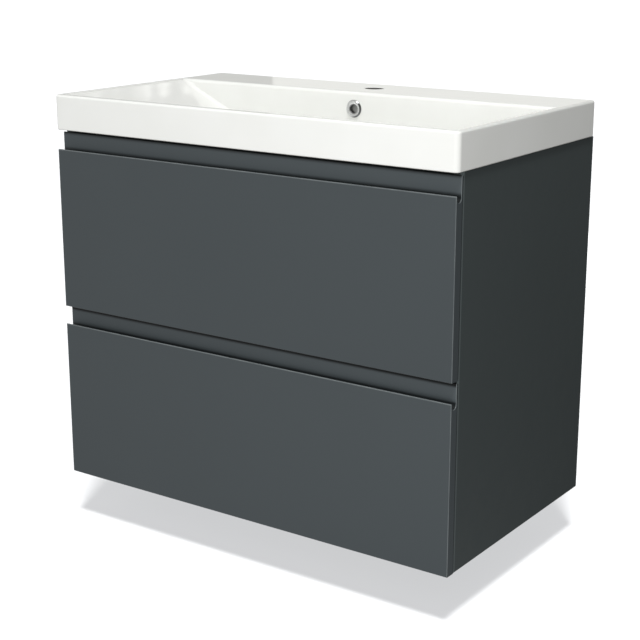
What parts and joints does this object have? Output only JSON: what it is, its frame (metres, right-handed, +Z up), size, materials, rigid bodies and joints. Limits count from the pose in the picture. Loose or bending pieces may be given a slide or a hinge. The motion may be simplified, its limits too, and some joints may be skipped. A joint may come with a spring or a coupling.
{
  "type": "bathroom vanity cabinet",
  "caption": "Wall-hung vanity cabinet with a ceramic washbasin over full-width drawers that open by a finger groove along each front's top edge.",
  "frame": {"origin": "centre of the wall plane, at the height of the cabinet's underside", "axes": "+X to the right seen from the front, +Y into the wall, +Z up"},
  "size_m": [0.805, 0.467, 0.6956],
  "materials": {
    "ceramic": "gloss white glaze",
    "chrome": "polished",
    "silicone": "white sanitary silicone",
    "front_lacquer": "matt anthracite lacquer on MDF",
    "carcass_board": "matt anthracite melamine board",
    "drawer_board": "dark grey melamine board",
    "drawer_steel": "anthracite powder coat",
    "runner_steel": "galvanised",
    "fastener_steel": "zinc plated",
    "bracket_plastic": "moulded grey nylon",
    "clear_pad": "clear soft pad",
    "dowel_wood": "beech"
  },
  "bodies": {
    "cabinet": {"washbasin": "ceramic", "overflow_ring": "chrome", "silicone_beads": "silicone", "side_panel_left": "carcass_board", "side_panel_right": "carcass_board", "bottom_panel": "carcass_board", "top_front_rail": "carcass_board", "middle_front_rail": "carcass_board", "upper_back_rail": "carcass_board", "lower_back_rail": "carcass_board", "cam_discs": "fastener_steel", "cam_bolts": "fastener_steel", "wooden_dowels": "dowel_wood", "hanging_bracket_left": "bracket_plastic", "hanging_bracket_right": "bracket_plastic", "hanging_hook_left": "runner_steel", "hanging_hook_right": "runner_steel", "wall_plate_left": "runner_steel", "wall_plate_right": "runner_steel", "bracket_adjusting_screws": "fastener_steel", "bracket_fixing_screws": "fastener_steel", "cabinet_runner_upper_left": "runner_steel", "cabinet_runner_upper_right": "runner_steel", "cabinet_runner_lower_left": "runner_steel", "cabinet_runner_lower_right": "runner_steel", "runner_screws": "fastener_steel", "soft_close_units": "bracket_plastic", "bumper_pads": "clear_pad"},
    "upper_drawer": {"upper_drawer_front": "front_lacquer", "upper_drawer_side_left": "drawer_steel", "upper_drawer_side_right": "drawer_steel", "upper_drawer_bottom": "drawer_board", "upper_drawer_back_left": "drawer_board", "upper_drawer_back_right": "drawer_board", "siphon_surround": "bracket_plastic", "drawer_runner_upper_left": "runner_steel", "drawer_runner_upper_right": "runner_steel", "upper_front_brackets": "runner_steel", "upper_back_brackets": "runner_steel", "upper_gallery_rails": "drawer_steel", "upper_gallery_supports": "bracket_plastic", "upper_drawer_screws": "fastener_steel"},
    "upper_runners": {"middle_runner_upper_left": "runner_steel", "middle_runner_upper_right": "runner_steel"},
    "lower_drawer": {"lower_drawer_front": "front_lacquer", "lower_drawer_side_left": "drawer_steel", "lower_drawer_side_right": "drawer_steel", "lower_drawer_bottom": "drawer_board", "lower_drawer_back": "drawer_board", "drawer_runner_lower_left": "runner_steel", "drawer_runner_lower_right": "runner_steel", "lower_front_brackets": "runner_steel", "lower_back_brackets": "runner_steel", "lower_gallery_rails": "drawer_steel", "lower_gallery_supports": "bracket_plastic", "lower_drawer_screws": "fastener_steel"},
    "lower_runners": {"middle_runner_lower_left": "runner_steel", "middle_runner_lower_right": "runner_steel"}
  },
  "joints": [
    {"name": "upper_drawer_slide", "type": "slide", "parent": "cabinet", "child": "upper_drawer", "axis": [0, -1, 0], "range_m": [0, 0.37]},
    {"name": "upper_runners_slide", "type": "slide", "parent": "cabinet", "child": "upper_runners", "axis": [0, -1, 0], "range_m": [0, 0.185]},
    {"name": "lower_drawer_slide", "type": "slide", "parent": "cabinet", "child": "lower_drawer", "axis": [0, -1, 0], "range_m": [0, 0.37]},
    {"name": "lower_runners_slide", "type": "slide", "parent": "cabinet", "child": "lower_runners", "axis": [0, -1, 0], "range_m": [0, 0.185]}
  ],
  "couplings": [
    {"joint": "upper_runners_slide", "follows": "upper_drawer_slide", "ratio": 0.5},
    {"joint": "lower_runners_slide", "follows": "lower_drawer_slide", "ratio": 0.5}
  ]
}
